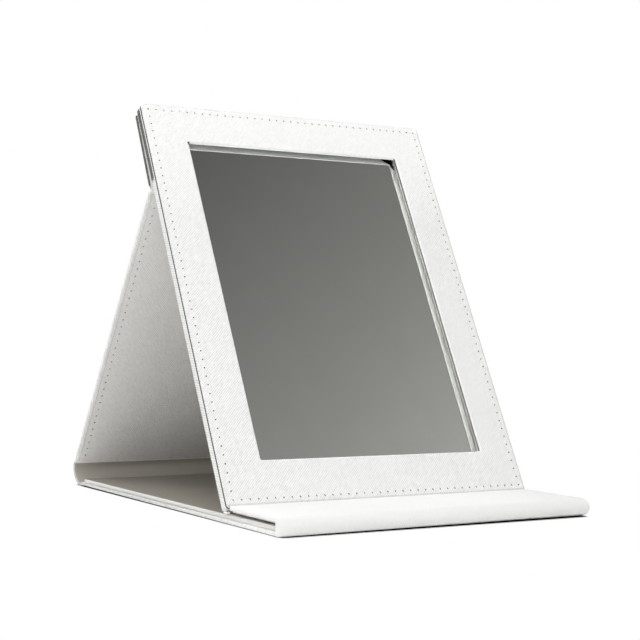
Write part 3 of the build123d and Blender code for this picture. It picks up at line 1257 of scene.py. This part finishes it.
def aim_camera():
    """Place the camera, rolled a little about its own line of sight."""
    deselect()
    bpy.ops.object.camera_add(location=CAMERA_PLACE)
    camera = bpy.context.object
    camera.name = "camera"
    ahead = (CAMERA_TARGET - CAMERA_PLACE).normalized()
    side = ahead.cross(Vector((0, 0, 1))).normalized()
    up = side.cross(ahead)
    x_axis = math.cos(CAMERA_ROLL) * side + math.sin(CAMERA_ROLL) * up
    y_axis = -math.sin(CAMERA_ROLL) * side + math.cos(CAMERA_ROLL) * up
    rotation = Matrix((x_axis, y_axis, -ahead)).transposed()
    camera.rotation_euler = rotation.to_euler()
    camera.data.sensor_width = SENSOR_WIDTH
    camera.data.lens = SENSOR_WIDTH * FOCAL_PIXELS / PICTURE_PIXELS
    camera.data.clip_start = 0.05
    camera.data.clip_end = 20
    bpy.context.scene.camera = camera
    return camera


camera = aim_camera()
print("lens", round(camera.data.lens, 1), "mm")

# %% Floor
BLACK, FAINT, WHITE = (0, 0, 0), (0.01, 0.01, 0.01), (1, 1, 1)
SHADOW_RAMP = [(0.0, BLACK), (0.35, FAINT), (0.65, WHITE), (1.0, WHITE)]
SHADOW_REACH = 0.006


def lay_floor():
    """White to the camera but for a contact shadow, and a pale table to all else."""
    deselect()
    bpy.ops.mesh.primitive_plane_add(size=6, location=(0, 0, 0))
    floor = named("floor")
    recipe = Recipe("pale_floor")
    output = next(n for n in recipe.tree.nodes if n.type == "OUTPUT_MATERIAL")
    camera_ray = recipe.node("ShaderNodeLightPath")
    contact = recipe.node("ShaderNodeAmbientOcclusion", {"samples": 12}, {"Distance": SHADOW_REACH}, output=1)
    glow = recipe.node("ShaderNodeValToRGB", {"stops": SHADOW_RAMP}, {0: contact})
    lit = recipe.node("ShaderNodeBsdfDiffuse", {}, {"Color": (0.97, 0.97, 0.96, 1)})
    pale = recipe.node("ShaderNodeEmission", {}, {"Color": glow, "Strength": 1.0})
    recipe.tree.links.new(recipe.mix_shaders(camera_ray, lit, pale).socket, output.inputs["Surface"])
    floor.data.materials.append(recipe.material)


lay_floor()
print("floor laid, shadow", SHADOW_REACH / MM, "mm wide")

# %% Room
FILL = 0.15
MIRRORED_GLOW = 2.2
SIDE_GLOW = 30.0


def light_room():
    """The world's four parts, mixed by the kind of ray."""
    world = bpy.data.worlds.new("studio")
    bpy.context.scene.world = world
    world.use_nodes = True
    recipe = Recipe("studio", world.node_tree)
    nodes_of = recipe.tree.nodes
    nodes_of.clear()
    output = nodes_of.new("ShaderNodeOutputWorld")
    direction = Signal(recipe, nodes_of.new("ShaderNodeTexCoord").outputs["Generated"])
    x = recipe.node("ShaderNodeSeparateXYZ", {}, {0: direction}, 0)
    z = recipe.node("ShaderNodeSeparateXYZ", {}, {0: direction}, 2)
    path = nodes_of.new("ShaderNodeLightPath")

    def ray(kind):
        return Signal(recipe, path.outputs[kind])

    def sky(strength, colour=(1, 1, 1, 1)):
        return recipe.node("ShaderNodeBackground", {}, {"Color": colour, "Strength": strength})

    corner = recipe.limit(x - 0.5) * recipe.limit(0.72 - z) * 6.2
    ceiling = recipe.limit((1.03 - z * 1.18 + x * 0.085) * 1.014 + corner)
    seen = recipe.node("ShaderNodeCombineColor", {}, {0: ceiling, 1: ceiling * 0.985, 2: ceiling * 0.955})
    upper_left = recipe.near(x + 0.3, 0.4) * recipe.limit(z * 2.5 - 0.75)
    glow = recipe.mix_shaders(upper_left, sky(MIRRORED_GLOW), sky(SIDE_GLOW))
    mirrored = recipe.maths("MAXIMUM", ray("Is Glossy Ray"), ray("Is Transmission Ray"))
    scattered = recipe.limit(ray("Diffuse Depth"))
    reflected = recipe.mix_shaders(scattered, sky(1.0, seen), glow)
    lit = recipe.mix_shaders(mirrored, sky(FILL), reflected)
    final = recipe.mix_shaders(ray("Is Camera Ray"), lit, sky(1.0))
    recipe.tree.links.new(final.socket, output.inputs["Surface"])


bpy.context.scene.view_settings.view_transform = "Standard"
light_room()
print("room painted")

# %% Lamps
LIT_MIDDLE = mm(0, 0, 90)


def hang_lamp(name, bearing, elevation, distance, size, watts):
    """A square soft box. Its bearing is counted from the front, and the left is negative."""
    turn, rise = math.radians(bearing), math.radians(elevation)
    away = Vector((math.sin(turn) * math.cos(rise), -math.cos(turn) * math.cos(rise), math.sin(rise)))
    place = LIT_MIDDLE + away * distance
    deselect()
    bpy.ops.object.light_add(type="AREA", location=place)
    lamp = bpy.context.object
    lamp.name = name
    lamp.data.size = size
    lamp.data.energy = watts
    lamp.rotation_euler = (LIT_MIDDLE - place).to_track_quat("-Z", "Y").to_euler()
    lamp.visible_glossy = False
    lamp.visible_transmission = False


hang_lamp("top_box", 0, 75, 2.6, 2.0, 32.0)
hang_lamp("key_box", -28, 46, 0.95, 0.7, 4.8)
hang_lamp("rear_box", -150, 40, 2.6, 2.0, 44.0)
print("studio lit")
